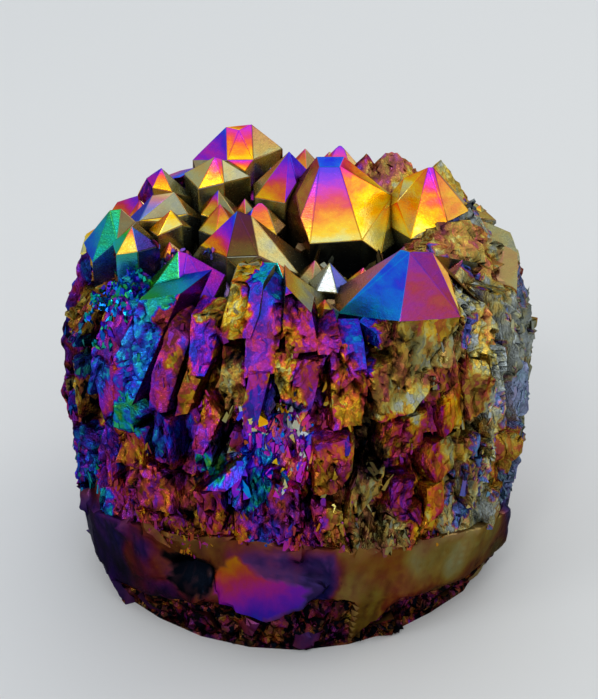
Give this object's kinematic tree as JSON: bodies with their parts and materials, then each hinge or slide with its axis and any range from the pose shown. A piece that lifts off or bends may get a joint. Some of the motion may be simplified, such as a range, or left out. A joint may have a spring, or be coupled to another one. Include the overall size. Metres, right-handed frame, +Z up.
{
  "type": "titanium aura quartz crystal cluster",
  "caption": "Stubby cluster of aura-coated quartz: a crown of short hexagonal points over a broken columnar flank and a smooth rind, standing on a flat base.",
  "frame": {"origin": "middle of the flat underside: the centre of the bounding box, at its bottom", "axes": "+Z up through the crown, -Y towards the front with the large blue and magenta point, +X to the right seen from the front"},
  "size_m": [0.0994, 0.0904, 0.0875],
  "materials": {
    "aura_quartz": "glossy iridescent titanium film: gold, orange, magenta, purple, blue and teal by facet, silver grey on the right side, dark in the crevices"
  },
  "bodies": {
    "root": {"quartz_cluster": "aura_quartz"}
  },
  "joints": []
}
